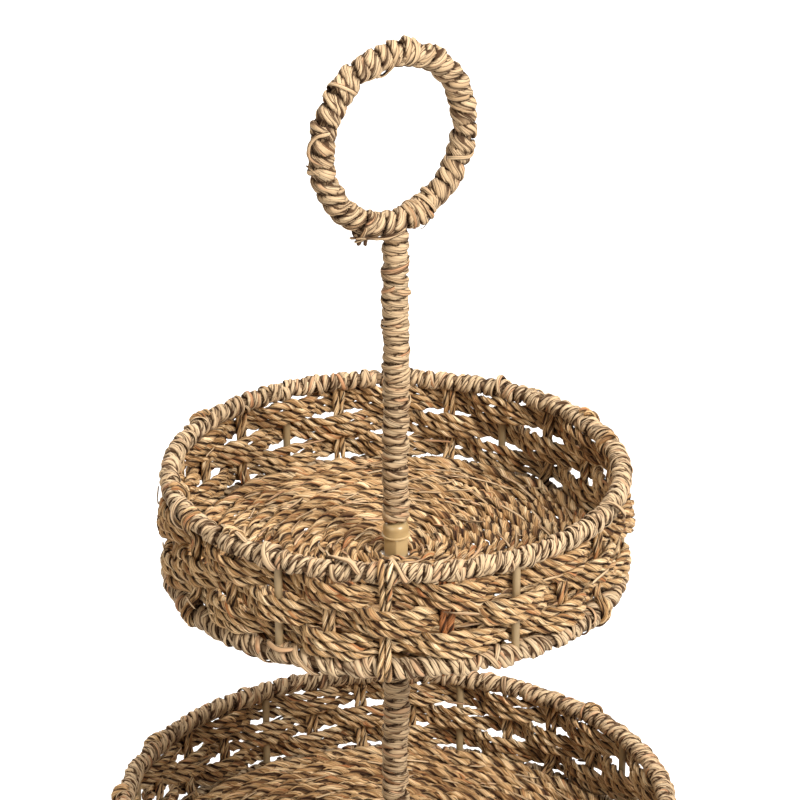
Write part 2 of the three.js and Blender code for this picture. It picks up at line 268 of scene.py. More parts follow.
def shade(red, green, blue):
    """Linear colour for a colour as it looks, given from 0 to 255."""
    return tuple(((part / 255 + 0.055) / 1.055) ** 2.4 for part in (red, green, blue))


def seagrass(slot, palette, red_blade, crease_colour, first_shaded_crease, blades, variety, streaks):
    """Dry seagrass: long narrow blades of many tones lying along the strand, with painted shade in the seams
    between them and in the creases.
    """
    f = Finish(slot)
    along = f.node("ShaderNodeUVMap", {"uv_map": "UVMap"}).outputs[0]
    drift = f.node("ShaderNodeTexNoise", Vector=f.stretched(along, 160, 45), Scale=1.0, Detail=1.0)
    swayed = f.calc("MULTIPLY_ADD", drift.outputs["Color"], (BLADE_SWAY, 0, 0), along,
                    kind="ShaderNodeVectorMath")
    cells = {"voronoi_dimensions": "2D"}
    blade_place = f.stretched(swayed, *blades)
    blade = f.node("ShaderNodeTexVoronoi", cells, Vector=blade_place, Scale=1.0)
    edge = f.node("ShaderNodeTexVoronoi", {**cells, "feature": "DISTANCE_TO_EDGE"},
                  Vector=blade_place, Scale=1.0).outputs["Distance"]
    chance = f.node("ShaderNodeSeparateColor", Color=blade.outputs["Color"]).outputs
    fine = f.streaked(swayed, 2700, 70)
    broad = f.streaked(along, 90, 22)

    level = f.sum(f.trait("tone"), chance["Red"], variety)
    level = f.sum(level, fine, streaks)
    level = f.sum(level, broad, BROAD_STREAKS)
    level = f.sum(level, -(BROAD_STREAKS + variety + streaks) / 2)
    colour = f.grade(level, [(place, shade(*tone)) for place, tone in palette])
    red = f.grade(f.sum(f.trait("warmth"), chance["Green"], 0.5), [(0.72, 0), (1.0, RED_SHARE)])
    colour = f.mixed(red, colour, (*shade(*red_blade), 1))
    # Painted shade: the creases are darkened towards the given shade colour, as shade falls in them.
    graded_crease_shade = f.grade(f.trait("crease"), [(first_shaded_crease, 0), (first_shaded_crease + 0.17, 0.4), (FULL_SHADE_CREASE, 0.97)])
    # Painted shade in the narrow seams between blades, added to the creases' painted shade.
    seam_shade = f.grade(edge, [(0.0, 1), (0.035, 0.7), (0.09, 0)])
    painted_shade = f.node("ShaderNodeClamp", Value=f.sum(graded_crease_shade, seam_shade)).outputs[0]
    colour = f.mixed(painted_shade, colour, (*shade(*crease_colour), 1))

    gloss = f.node("ShaderNodeMapRange", Value=fine, From_Min=0.3, From_Max=0.7, To_Min=0.45, To_Max=0.68)
    swell = f.grade(edge, [(0.0, 0), (0.07, 0.6), (0.3, 1)])
    bump = f.node("ShaderNodeBump", Strength=0.9, Distance=0.5 * MM, Height=f.sum(swell, fine, 0.45))
    f.paint(Base_Color=colour, Roughness=f.sum(gloss.outputs[0], painted_shade, 0.4), Specular_IOR_Level=0.2,
            Normal=bump.outputs[0])
    return Coat(f.material, slot)


def painted_steel(name, tan, roughness):
    """Tan powder coat with a faint grain and slightly rubbed high spots."""
    f = Finish(name)
    place = f.node("ShaderNodeTexCoord").outputs["Object"]
    cloud = f.node("ShaderNodeTexNoise", Vector=place, Scale=45.0, Detail=4.0, Roughness=0.6).outputs["Fac"]
    grain = f.node("ShaderNodeTexNoise", Vector=place, Scale=1800.0, Detail=2.0).outputs["Fac"]
    rubbed = tuple(part + 20 for part in tan)
    gloss = f.node("ShaderNodeMapRange", Value=cloud, From_Min=0.3, From_Max=0.7, To_Min=roughness - 0.04,
                   To_Max=roughness + 0.1)
    bump = f.node("ShaderNodeBump", Strength=0.12, Distance=0.1 * MM, Height=grain)
    f.paint(Base_Color=f.grade(cloud, [(0.3, shade(*tan)), (0.72, shade(*rubbed))]),
            Roughness=gloss.outputs[0], Normal=bump.outputs[0])
    return Coat(f.material, "painted_steel")


WRAP = seagrass(
    "seagrass_wrap",
    palette=[(0.0, (137, 109, 76)), (0.25, (172, 143, 108)), (0.5, (185, 157, 122)), (0.75, (187, 161, 126)),
             (1.0, (190, 166, 133))],
    red_blade=(170, 118, 80), crease_colour=(68, 47, 30), first_shaded_crease=0.53,
    blades=WIDE_BLADES, variety=0.45, streaks=0.3)
ROPEGRASS = seagrass(
    "seagrass_rope",
    palette=[(0.05, (100, 67, 37)), (0.27, (158, 120, 76)), (0.5, (190, 154, 109)), (0.72, (208, 175, 131)),
             (0.95, (223, 196, 155))],
    red_blade=(160, 98, 55), crease_colour=(38, 18, 5), first_shaded_crease=0.45,
    blades=FINE_BLADES, variety=0.5, streaks=0.42)
STEEL = painted_steel("painted_steel", (158, 131, 87), roughness=0.3)
ROD_STEEL = painted_steel("painted_rods", (126, 104, 70), roughness=0.55)


# Strands of seagrass

@dataclass
class Strand:
    """One cord: the points along its middle, and how it is twisted and pressed."""
    path: np.ndarray
    thick: float
    lay: float
    closed: bool = False
    facing: np.ndarray = None   # which way its flat side looks, at each point
    flat: float = 1.0           # its thickness that way over its width
    tone: float = 0.5
    warm: float = 0.0
    taper: float = 0.0          # length over which it thins to a closed end
    uneven: float = 0.07
    painted_shade_depth: float = 0.0           # painted shade added all over it, for a strand that lies in the shade between other strands


@dataclass
class Section:
    """A strand cut across: how far each point of its outline is from its middle, and its blades."""
    outline: np.ndarray
    blades: int                 # parts of the outline that have tones of their own


def plied(plies, blades, steps, waist, lap):
    """The section of a laid cord: plump plies with a waist between them, each of a few lapping blades."""
    part = (np.arange(plies * steps) % steps) / steps
    plump = waist + (1 - waist) * np.sin(math.pi * np.clip(part + 0.5 / steps, 0, 1)) ** 0.6
    return Section(plump * (1 - lap * ((part * blades) % 1)), plies * blades)


SINGLE_BLADE = Section(np.ones(8), 2)
BED = Section(np.ones(12), 3)
WALL_ROPE = plied(2, 3, 9, 0.3, 0.12)
FLOOR_ROW = plied(2, 3, 7, 0.5, 0.16)
STAY = plied(2, 2, 7, 0.5, 0.12)


def spaced(points, step, closed=False):
    """The same path with its points a regular step apart."""
    points = np.asarray(points, float)
    line = np.vstack([points, points[:1]]) if closed else points
    reach = np.concatenate([[0], np.cumsum(np.linalg.norm(np.diff(line, axis=0), axis=1))])
    count = max(3, round(reach[-1] / step) + (0 if closed else 1))
    at = np.linspace(0, reach[-1], count, endpoint=not closed)
    return np.column_stack([np.interp(at, reach, line[:, k]) for k in range(3)])


def rounded(points):
    """A smooth path through the given points."""
    ends = np.vstack([2 * points[0] - points[1], points, 2 * points[-1] - points[-2]])
    t = np.linspace(0, 1, SMOOTH_STEPS, endpoint=False)[:, None]
    parts = []
    for a, b, c, d in zip(ends, ends[1:], ends[2:], ends[3:]):
        square, cube = 2 * a - 5 * b + 4 * c - d, 3 * b - a - 3 * c + d
        parts.append(0.5 * (2 * b + (c - a) * t + square * t ** 2 + cube * t ** 3))
    return np.vstack([*parts, points[-1:]])


def length_of(path, closed):
    line = np.vstack([path, path[:1]]) if closed else path
    return np.linalg.norm(np.diff(line, axis=0), axis=1).sum()


def wander(rng, angles, size, slowest, fastest, waves=6):
    """Smooth unevenness round a closed ring, for hand-laid work."""
    total = np.zeros_like(angles)
    for _ in range(waves):
        total += np.sin(rng.integers(slowest, fastest + 1) * angles + rng.uniform(0, TURN))
    return size * total / math.sqrt(waves / 2)


def ripple(rng, along, around, size, short, long, folds=3, waves=6):
    """Smooth unevenness over a strand's surface, along it in metres and around it in turns."""
    total = np.zeros(np.broadcast_shapes(along.shape, around.shape))
    for _ in range(waves):
        wave = rng.uniform(short, long)
        total += np.sin(TURN * (along / wave + rng.integers(-folds, folds + 1) * around + rng.random()))
    return size * total / math.sqrt(waves / 2)


def blade_ripple(rng, along, size, short, long, waves=6):
    """Unevenness along a strand that is the same all round it."""
    return ripple(rng, along, np.zeros((1, 1)), size, short, long, 0, waves)


def outline_curve(name, outline):
    """The section as a flat closed curve that another curve can carry along."""
    curve = bpy.data.curves.new(name, "CURVE")
    curve.dimensions = "2D"
    rim = curve.splines.new("POLY")
    rim.points.add(len(outline) - 1)
    for k, distance in enumerate(outline):
        angle = TURN * k / len(outline)
        rim.points[k].co = (distance * math.cos(angle), distance * math.sin(angle), 0, 1)
    rim.use_cyclic_u = True
    return bpy.data.objects.new(name, curve)


def sweep(name, strands, outline):
    """The bare mesh of these strands, each an outline swept along its path, ring after ring."""
    outline_holder = outline_curve(f"{name}_outline", outline)
    curve = bpy.data.curves.new(f"{name}_lines", "CURVE")
    curve.dimensions = "3D"
    curve.twist_mode = "MINIMUM"
    curve.bevel_mode = "OBJECT"
    curve.bevel_object = outline_holder
    for strand in strands:
        count = len(strand.path)
        length = length_of(strand.path, strand.closed)
        line = curve.splines.new("POLY")
        line.points.add(count - 1)
        line.points.foreach_set("co", np.column_stack([strand.path, np.ones(count)]).ravel())
        turns = length / strand.lay
        if strand.closed:
            turns = round(turns)
        share = np.arange(count) / (count if strand.closed else count - 1)
        line.points.foreach_set("tilt", TURN * (turns * share + strand.tone * 7))
        radius = np.full(count, strand.thick / 2)
        if strand.taper:
            end = np.minimum(share, 1 - share) * length / strand.taper
            radius *= np.sqrt(np.clip(end, POINT ** 2, 1))
        line.points.foreach_set("radius", radius)
        line.use_cyclic_u = strand.closed
    holder = bpy.data.objects.new(f"{name}_lines", curve)
    for helper in (outline_holder, holder):
        bpy.context.scene.collection.objects.link(helper)
    mesh = bpy.data.meshes.new_from_object(holder.evaluated_get(bpy.context.evaluated_depsgraph_get()))
    for helper in (outline_holder, holder):
        data = helper.data
        bpy.data.objects.remove(helper)
        bpy.data.curves.remove(data)
    mesh.name = name
    return mesh


def lay_strands(name, strands, section, coat, nodes, seed):
    """A piece made of strands, with the unevenness and blade tones of real seagrass, and a mask of painted
    shade in its creases.
    """
    rng = np.random.default_rng(seed)
    outline = section.outline
    sides = len(outline)
    mesh = sweep(name, strands, outline)
    places = np.empty(len(mesh.vertices) * 3, np.float32)
    mesh.vertices.foreach_get("co", places)
    places = places.reshape(-1, 3).astype(float)
    if len(places) != sides * sum(len(s.path) for s in strands):
        raise ValueError(f"{name}: the sweep has {len(places)} points")
    tone, warmth = np.zeros(len(places)), np.zeros(len(places))
    # Painted shade in the grooves of the outline, deepest at the waist between plies and where blades lap.
    crease = np.tile((outline.max() - outline) / max(np.ptp(outline), 0.2), len(places) // sides)
    blade = np.arange(sides) * section.blades // sides
    around = np.arange(sides)[None, :] / sides
    start = 0
    for strand in strands:
        count = len(strand.path)
        stop = start + count * sides
        spokes = places[start:stop].reshape(count, sides, 3) - strand.path[:, None, :]
        along = np.linspace(0, length_of(strand.path, strand.closed), count)[:, None]
        swell = 1 + ripple(rng, along, around, strand.uneven, *LUMPS)
        swell = swell + blade_ripple(rng, along, strand.uneven * 0.7, *SWELLS)
        if strand.closed:
            swell[-1] = swell[0] = (swell[0] + swell[-1]) / 2
        if strand.facing is not None:
            outward = (spokes * strand.facing[:, None, :]).sum(2)
            outward = outward / np.maximum(np.linalg.norm(spokes, axis=2), TINY)
            swell = swell / np.sqrt((outward / strand.flat) ** 2 + np.clip(1 - outward ** 2, 0, 1))
            # Painted shade on the sides of a pressed strand, where it turns away into the groove beside the
            # next turn.
            edge = (EDGE_DARK - EDGE_FADE * (outward - EDGE_SHADE)).clip(0, 1).ravel()
            crease[start:stop] = np.maximum(crease[start:stop], edge)
        places[start:stop] = (strand.path[:, None, :] + spokes * swell[:, :, None]).reshape(-1, 3)
        own = np.full((count, sides), strand.tone)
        red = np.full((count, sides), strand.warm + 0.3)
        for k in range(section.blades):
            cells = blade == k
            own[:, cells] += blade_ripple(rng, along, *TONE_DRIFT, waves=4) + rng.normal(0, 0.06)
            red[:, cells] += blade_ripple(rng, along, *RED_DRIFT, waves=4) + rng.normal(0, 0.06)
        crease[start:stop] += strand.painted_shade_depth
        tone[start:stop] = own.ravel()
        warmth[start:stop] = red.ravel()
        start = stop
    places[:, 2] = np.maximum(places[:, 2], TABLE_GAP)
    mesh.vertices.foreach_set("co", places.astype(np.float32).ravel())
    for label, values in (("tone", tone), ("warmth", warmth), ("crease", crease)):
        trait = mesh.attributes.new(label, "FLOAT", "POINT")
        trait.data.foreach_set("value", values.astype(np.float32))
    stretch_uv(mesh, strands, sides, rng)
    close_ends(mesh)
    joined(name, mesh, coat, nodes)


def stretch_uv(mesh, strands, sides, rng):
    """Turns the sweep's UV, along and round each strand, into metres round it and along it."""
    layer = mesh.uv_layers["UVMap"]
    flat = np.empty(len(mesh.loops) * 2, np.float32)
    layer.uv.foreach_get("vector", flat)
    uv = flat.reshape(-1, 2)
    start = 0
    for strand in strands:
        rings = len(strand.path) if strand.closed else len(strand.path) - 1
        stop = start + rings * sides * 4
        girth = math.pi * strand.thick
        along, across = uv[start:stop, 0].copy(), uv[start:stop, 1].copy()
        uv[start:stop, 0] = across * girth + rng.uniform(0, 3)
        uv[start:stop, 1] = along * length_of(strand.path, strand.closed) + rng.uniform(0, 3)
        start = stop
    if start != len(uv):
        raise ValueError(f"{mesh.name}: {len(uv)} corners, {start} expected")
    layer.uv.foreach_set("vector", uv.ravel())


def close_ends(mesh):
    """Closes the pointed ends of the strands and turns every face outwards."""
    work = bmesh.new()
    work.from_mesh(mesh)
    edge = [v for v in work.verts if v.is_boundary]
    if edge:
        bmesh.ops.remove_doubles(work, verts=edge, dist=0.05 * MM)
        rims = [e for e in work.edges if e.is_boundary]
        if rims:
            bmesh.ops.holes_fill(work, edges=rims, sides=0)
    bmesh.ops.recalc_face_normals(work, faces=work.faces[:])
    for face in work.faces:
        face.smooth = True
    work.to_mesh(mesh)
    work.free()


# Walls

def round_points(radius, height, angles):
    return np.column_stack([radius * np.cos(angles), radius * np.sin(angles),
                            np.broadcast_to(height, angles.shape)])


def wall_band(tray, number, seed):
    """Three laid ropes that pass the stakes together, in front of one and behind the next."""
    rng = np.random.default_rng(seed)
    node = f"{tray.name}_rope_band_{number}"
    low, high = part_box(node)
    middle = (low.z + high.z) / 2
    side = tray.top_side * (1 if number % 2 else -1)
    angles = np.linspace(0, TURN, 1200, endpoint=False)
    course = tray.weave(angles, tray.stakes)
    swing = np.tanh(SWING_SNAP * np.cos(course)) / math.tanh(SWING_SNAP)
    droop = wander(rng, angles, 0.4 * MM, 2, 14) - 0.5 * MM * side * swing
    spread = ROPE_RISE * (0.97 + 0.05 * np.cos(2 * course) + wander(rng, angles, 0.04, 5, 20))
    strands = []
    for k in range(ROPES_PER_BAND):
        radius = tray.radius + side * SWING * swing + wander(rng, angles, 0.35 * MM, 3, 24)
        height = middle + (k - 1) * spread + droop + wander(rng, angles, 0.45 * MM, 3, 30)
        path = spaced(round_points(radius, height, angles), ROPE_STEP, True)
        strands.append(Strand(path, ROPE * rng.uniform(0.92, 1.07), ROPE_LAY * rng.uniform(0.88, 1.15), True,
                              tone=0.5 + rng.normal(0, 0.07), uneven=0.11))
    lay_strands(f"{tray.name}_band_{number}_ropes", strands, WALL_ROPE, ROPEGRASS, [node], seed)


# Windings on the wires

@dataclass
class Core:
    """A wire or rod that cord is wound on."""
    wire: float                 # its radius
    length: float
    closed: bool
    lie: Callable               # gives its middle and two directions across it, at distances along it

    def at(self, along, roll, reach):
        """Points so far along, turned by roll about the wire and reach from its middle, and the way out."""
        middle, side, up = self.lie(along)
        outward = side * np.cos(roll)[:, None] + up * np.sin(roll)[:, None]
        return middle + outward * np.broadcast_to(reach, along.shape)[:, None], outward


def tray_ring_core(tray, part):
    height = tray.rim if part == "rim" else tray.base

    def lie(along):
        angle = along / tray.radius
        side = np.column_stack([np.cos(angle), np.sin(angle), 0 * angle])
        return tray.radius * side + (0, 0, height), side, np.tile((0.0, 0.0, 1.0), (len(angle), 1))
    return Core(WIRE / 2, TURN * tray.radius, True, lie)


def handle_core():
    """The ring's wire, followed from its foot."""
    low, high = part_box("handle_ring")
    centre = (low.z + high.z) / 2
    wire = (high.y - low.y) / 2
    radius = (high.x - low.x) / 2 - wire

    def lie(along):
        angle = along / radius - TURN / 4
        side = np.column_stack([np.cos(angle), 0 * angle, np.sin(angle)])
        away = radius - HANDLE_DENT * np.exp(-((angle - HANDLE_DENT_AT) / HANDLE_DENT_SPAN) ** 2)
        middle = away[:, None] * side + (-HANDLE_ASIDE, 0, centre)
        return middle, side, np.tile((0.0, -1.0, 0.0), (len(angle), 1))
    return Core(wire, TURN * radius, True, lie)


def post_core(low, high):
    def lie(along):
        middle = np.column_stack([0 * along, 0 * along, low + along])
        return middle, np.tile((1.0, 0.0, 0.0), (len(along), 1)), np.tile((0.0, 1.0, 0.0), (len(along), 1))
    return Core(POST / 2, high - low, False, lie)


@dataclass
class Winding:
    """How cord is wound: one cord or more side by side, so each turn leans."""
    pitch: float                # from one cord to the next along the wire
    cord: float                 # thickness over the wire
    starts: int                 # cords wound side by side
    hand: int
    lay: float
    loose: float                # how far turns stray, in pitches
    tone: float
    plump: float                # thickness of a turn over what the winding adds to the wire
    blades: int = 3             # in each of the cord's two plies
    steps: int = 22             # of one turn
    overlap: float = 1.15       # width of a turn over the pitch

    def section(self):
        return plied(2, self.blades, max(2 * self.blades, 5), 0.78, 0.17)


def wind(core, winding, name, nodes, seed):
    """Cord wound on a core turn beside turn, and under it a plain bed, painted dark as the shade between the
    turns, that shows between them.
    """
    rng = np.random.default_rng(seed)
    turns = core.length / (winding.pitch * winding.starts)
    if core.closed:
        turns = round(turns)
    share = np.linspace(0, 1, int(turns * winding.steps), endpoint=not core.closed)
    strands = []
    for start in range(winding.starts):
        stray = wander(rng, TURN * share, winding.loose * winding.pitch, int(turns / 5) + 1, int(turns), 9)
        roll = TURN * (winding.hand * turns * share + start / winding.starts)
        lift = wander(rng, TURN * share, 0.11 * winding.cord, int(turns / 4) + 1, int(turns * 1.5), 12)
        reach = core.wire + winding.cord * (1 - winding.plump / 2) + lift
        if start:
            reach = reach - 0.05 * winding.cord
        path, facing = core.at(core.length * share + stray, roll, reach)
        wide = winding.pitch * winding.overlap * rng.uniform(0.96, 1.04)
        lay = winding.hand * winding.lay * (rng.uniform(0.85, 1.2) if core.closed else 1)
        strands.append(Strand(path, wide, lay, core.closed, facing, winding.cord * winding.plump / wide,
                              tone=winding.tone + rng.normal(0, 0.03), taper=0 if core.closed else 6 * MM,
                              uneven=0.14))
    lay_strands(name, strands, winding.section(), WRAP, nodes, seed)
    # The bed's low tone and its painted shade stand for the shade between the turns.
    at = np.linspace(0, core.length, int(core.length / BED_STEP), endpoint=not core.closed)
    bed_thick = 2 * core.wire + (2 - 1.3 * winding.plump) * winding.cord
    shade_bed = Strand(core.lie(at)[0], bed_thick, BED_LAY, core.closed, tone=0.25, uneven=0.01,
                 taper=0 if core.closed else 2 * MM, painted_shade_depth=0.8)
    lay_strands(f"{name}_bed", [shade_bed], BED, WRAP, nodes, seed)


def shaped(core, winding, shapes, lay, flat):
    """Strands by their width in mm, their tone and places of their own.

    A place is a distance along the wire in mm, a turn about it, and the height over the cord in mm.
    """
    strands = []
    for wide, tone, places in shapes:
        along, roll, lift = rounded(np.array(places, float)).T
        path, facing = core.at(along * MM, TURN * roll, core.wire + winding.cord + (lift + 0.7) * MM)
        strands.append(Strand(path, wide * MM, lay, False, facing, flat, tone=tone, taper=1.5 * MM,
                              uneven=0.12))
    return strands


def loose_blades(core, winding, name, nodes, count, shapes, seed):
    """Single flat blades that lie across a winding at other slants, and shapes of their own."""
    rng = np.random.default_rng(seed)
    strands = shaped(core, winding, shapes, BLADE_LAY, 0.5)
    share = np.linspace(0, 1, 26)
    for _ in range(count):
        sweep_round = rng.uniform(0.35, 0.95) * rng.choice((-1, 1))
        slip = rng.uniform(0.2, 2.2) * winding.pitch * rng.choice((-1, 1))
        first = rng.uniform(0.02, 0.98) * core.length
        along = first + slip * share + rng.normal(0, 0.3 * MM) * np.sin(TURN * share)
        if not core.closed:
            along = np.clip(along, 2 * MM, core.length - 2 * MM)
        roll = TURN * (rng.random() + sweep_round * share)
        lift = rng.uniform(0.0, 0.5) * MM - 3 * MM * np.abs(2 * share - 1) ** 3
        path, facing = core.at(along, roll, core.wire + winding.cord + lift)
        wide = rng.uniform(3.0, 5.0) * MM
        strands.append(Strand(path, wide, BLADE_LAY, False, facing, BLADE_THICK / wide,
                              tone=winding.tone + rng.normal(-0.12, 0.07), warm=abs(rng.normal(0, 0.12)),
                              taper=3 * MM, uneven=0.1))
    lay_strands(name, strands, SINGLE_BLADE, WRAP, nodes, seed)


def extra_turns(core, winding, name, nodes, shapes, seed):
    """Short lengths of the winding's own cord tied over it."""
    strands = shaped(core, winding, shapes, winding.hand * winding.lay, 0.72)
    lay_strands(name, strands, winding.section(), WRAP, nodes, seed)


# Stays, with the places of their cords as (outwards, up) in mm from the rim's or the base's wire

SHOWN_STAY, BROWN_STAY = ("upper", 14), ("upper", 15)
MOVED_STAYS = {("upper", 13): math.radians(-1.8), SHOWN_STAY: math.radians(-2.9),
               BROWN_STAY: math.radians(-3)}
OVER_RIM = [(-3.4, 6.4), (1.5, 7.6), (7.2, 3), (6.4, -3.5), (2, -8.5)]
FROM_RIM = [(0, 1), (0, -4), (0, -9)]
ROUND_BASE = [(0, 16), (2.6, 10.5), (7.8, 4.5), (8.2, -1), (5, -5.4), (-1, -6.6)]


def stays(tray, seed):
    """Pairs of cord from the rim down to the base ring, at each stake that isn't a rod."""
    rng = np.random.default_rng(seed)
    strands = []
    high = tray.rim - tray.base
    for k in range(tray.stakes):
        if k % STAKES_PER_ROD == 0:
            continue
        stake = (tray.name, k)
        middle = tray.stake_angle(k) + MOVED_STAYS.get(stake, 0)
        side = -tray.top_side if k % 2 == 0 else tray.top_side
        top = OVER_RIM if rng.random() < 0.35 or stake == SHOWN_STAY else FROM_RIM
        line = np.array([(side * x * MM, high + z * MM) for x, z in top]
                        + [(0, high - 15 * MM), (0, high / 2)]
                        + [(side * x * MM, z * MM) for x, z in ROUND_BASE])
        tone = (0.62 if stake == SHOWN_STAY else 0.52) + rng.normal(0, 0.06)
        brown = 0.75 if stake == BROWN_STAY else 0
        share = np.linspace(0, 1, len(line))
        radius = tray.radius + line[:, 0]
        for hand in (-1, 1):
            shift = hand * STAY_SPREAD / tray.radius
            lean = rng.normal(0, 0.6 * MM) / tray.radius
            bow = hand * 0.4 * MM / tray.radius * np.cos(share * TURN)
            turn = middle + shift + lean * (share - 0.5) * 2 + bow
            path = spaced(rounded(round_points(radius, tray.base + line[:, 1], turn)), STAY_STEP)
            strands.append(Strand(path, STAY_CORD * (rng.uniform(0.9, 1.08) + brown * 0.3),
                                  STAY_LAY * rng.uniform(0.85, 1.2), taper=3 * MM,
                                  tone=tone + rng.normal(0, 0.04) - brown * 0.3, warm=brown, uneven=0.09))
    lay_strands(f"{tray.name}_stays", strands, STAY, ROPEGRASS, [f"{tray.name}_rim_wrap"], seed)


# Floors

def floor_rows(tray, seed):
    """Rows of laid cord round and round the floor, over and under the stakes that lie in it."""
    rng = np.random.default_rng(seed)
    first = HUB_HOLE + FLOOR_CORD / 2
    last = tray.floor_edge - FLOOR_CORD / 2
    count = round((last - first) / FLOOR_PITCH) + 1
    inner, outer = [], []
    for k in range(count):
        radius = first + (last - first) * k / (count - 1)
        angles = np.linspace(0, TURN, max(60, int(TURN * radius / (1.5 * MM))), endpoint=False)
        crossed = tray.stakes if radius > FULL_STAKES else tray.stakes // 2
        course = tray.weave(angles, crossed) + wander(rng, angles, 0.25, 2, 7)
        wave = (1 if k % 2 else -1) * np.cos(course)
        height = tray.base + FLOOR_RISE + FLOOR_WAVE * wave + wander(rng, angles, 0.3 * MM, 2, 12)
        side = wander(rng, angles, 0.5 * MM, 2, 3 + int(radius / (6 * MM))) + 0.35 * MM * np.sin(course)
        path = spaced(round_points(radius + side, height, angles), FLOOR_STEP, True)
        row = Strand(path, FLOOR_CORD * rng.uniform(0.92, 1.08), FLOOR_LAY * rng.uniform(0.85, 1.2), True,
                     tone=0.42 + rng.normal(0, 0.07), uneven=0.13)
        (inner if radius < tray.floor_edge * INNER_SHARE else outer).append(row)

    # Two rows at the edge: one that dips between the spokes to the base ring, and one in the corner over it
    angles = np.linspace(0, TURN, 900, endpoint=False)
    half = math.pi / tray.rods
    from_spoke = np.abs((angles - tray.first_rod + half) % (2 * half) - half) * last
    dipping = 0.1 * MM + 6.2 * MM * np.exp(-(from_spoke / (6 * MM)) ** 2)
    for rise, uneven, outside, thick, tone in ((dipping, 0.5, 0.4, 1.05, 0.4),
                                               (FLOOR_RISE + 3 * MM, 0.7, 0.3, 1.1, 0.52)):
        height = tray.base + rise + wander(rng, angles, uneven * MM, 3, 30)
        radius = last + outside * MM + wander(rng, angles, 0.4 * MM, 3, 30)
        path = spaced(round_points(radius, height, angles), EDGE_STEP, True)
        outer.append(Strand(path, FLOOR_CORD * thick, FLOOR_LAY, True, tone=tone, uneven=0.1))
    for part, strands in (("inner", inner), ("outer", outer)):
        lay_strands(f"{tray.name}_floor_{part}_rows", strands, FLOOR_ROW, ROPEGRASS,
                    [f"{tray.name}_floor_mat"], seed + len(strands))


def slivers(tray, seed):
    """Loose blade ends on the floor rows and the wall ropes."""
    rng = np.random.default_rng(seed)
    share = np.linspace(0, 1, 16)
    walls = [f"rope_band_{band}" for band in BANDS]
    for part, count, nodes in (("floor", 170, ["floor_mat"]), ("wall", 36, walls)):
        strands = []
        for _ in range(count):
            angle = rng.uniform(0, TURN)
            long = rng.uniform(10, 26) * MM * rng.choice((-1, 1))
            sink = rng.uniform(-0.3, 0.5) * MM - 1.2 * MM * (1 - share) ** 3
            lift = sink + rng.uniform(0, 2.2) * MM * share ** 4
            if part == "floor":
                radius = tray.floor_edge * math.sqrt(rng.uniform(0.02, 0.9))
                radius = radius + rng.uniform(-0.3, 0.3) * abs(long) * share
                turn = angle + long * share / np.maximum(radius, 8 * MM)
                height = tray.base + FLOOR_RISE + FLOOR_CORD / 2 + lift
                facing = np.tile((0.0, 0.0, 1.0), (len(share), 1))
            else:
                turn = angle + long * share / tray.radius
                way = rng.choice((-1, 1))
                swing = SWING * (0.3 + 0.7 * abs(math.cos(tray.weave(angle, tray.stakes))))
                radius = tray.radius + way * (0.5 * ROPE + lift + swing)
                height = rng.uniform(tray.base + 9 * MM, tray.rim - 9 * MM)
                height = height - long * rng.uniform(-0.05, 0.35) * share
                facing = way * np.column_stack([np.cos(turn), np.sin(turn), 0 * turn])
            path = round_points(radius, height, turn)
            wide = rng.uniform(1.6, 3.2) * MM
            strands.append(Strand(path, wide, BLADE_LAY, False, facing, SLIVER_THICK / wide,
                                  tone=rng.normal(0.38, 0.08), warm=abs(rng.normal(0, 0.12)), taper=3 * MM,
                                  uneven=0.1))
        lay_strands(f"{tray.name}_{part}_slivers", strands, SINGLE_BLADE, WRAP,
                    [f"{tray.name}_{node}" for node in nodes], seed)


# Painted frame

def finish_metal(name, work, coat, nodes, sharp=35):
    """Makes a piece of a bmesh, smooth but for edges that turn by more than sharp degrees."""
    for face in work.faces:
        face.smooth = True
    for edge in work.edges:
        edge.smooth = edge.calc_face_angle(0) < math.radians(sharp)
    mesh = bpy.data.meshes.new(name)
    work.to_mesh(mesh)
    work.free()
    joined(name, mesh, coat, nodes)


def lathe(name, outline, nodes):
    """A turned part: an outline of (radius, height) spun about the post's axis."""
    work = bmesh.new()
    corners = [work.verts.new((radius, 0, height)) for radius, height in outline]
    edges = [work.edges.new(pair) for pair in zip(corners, corners[1:])]
    bmesh.ops.spin(work, geom=corners + edges, angle=TURN, steps=LATHE_STEPS, axis=(0, 0, 1),
                   cent=(0, 0, 0), use_merge=True)
    bmesh.ops.remove_doubles(work, verts=work.verts[:], dist=0.01 * MM)
    bmesh.ops.recalc_face_normals(work, faces=work.faces[:])
    finish_metal(name, work, STEEL, nodes)


def ferrule(tray):
    """Domed cover with a thin lip, over the foot of the post."""
    node = f"{tray.name}_ferrule"
    low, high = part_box(node)
    lip = (high.x - low.x) / 2
    dome = lip - 0.85 * MM
    neck = POST / 2 + POST_FIT
    shoulder = low.z + 5.2 * MM
    top = high.z - 0.1 * MM
    outline = [(radius, low.z + rise * MM) for radius, rise in (
        (neck, 0), (lip - 0.25 * MM, 0), (lip, 0.25), (lip, 0.95), (lip - 0.3 * MM, 1.25),
        (dome + 0.12 * MM, 1.4), (dome, 1.7))]
    flat = neck + 0.5 * MM
    steps = 8
    for k in range(steps + 1):
        angle = TURN / 4 * k / steps
        radius = flat + (dome - flat) * math.cos(angle)
        outline.append((radius, shoulder + (top - shoulder) * math.sin(angle)))
    outline += [(neck, top), (neck, low.z)]
    lathe(f"{node}_cap", outline, [node])


def collar():
    """The post's shoulder under the upper tray, with chamfered edges."""
    low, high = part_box("lower_post_collar")
    outer, inner = (high.x - low.x) / 2, POST / 2 + POST_FIT
    chamfer = 0.6 * MM
    outline = [(inner, low.z), (outer - chamfer, low.z), (outer, low.z + chamfer), (outer, high.z - chamfer),
               (outer - chamfer, high.z), (inner, high.z), (inner, low.z)]
    lathe("lower_collar_ring", outline, ["lower_post_collar"])


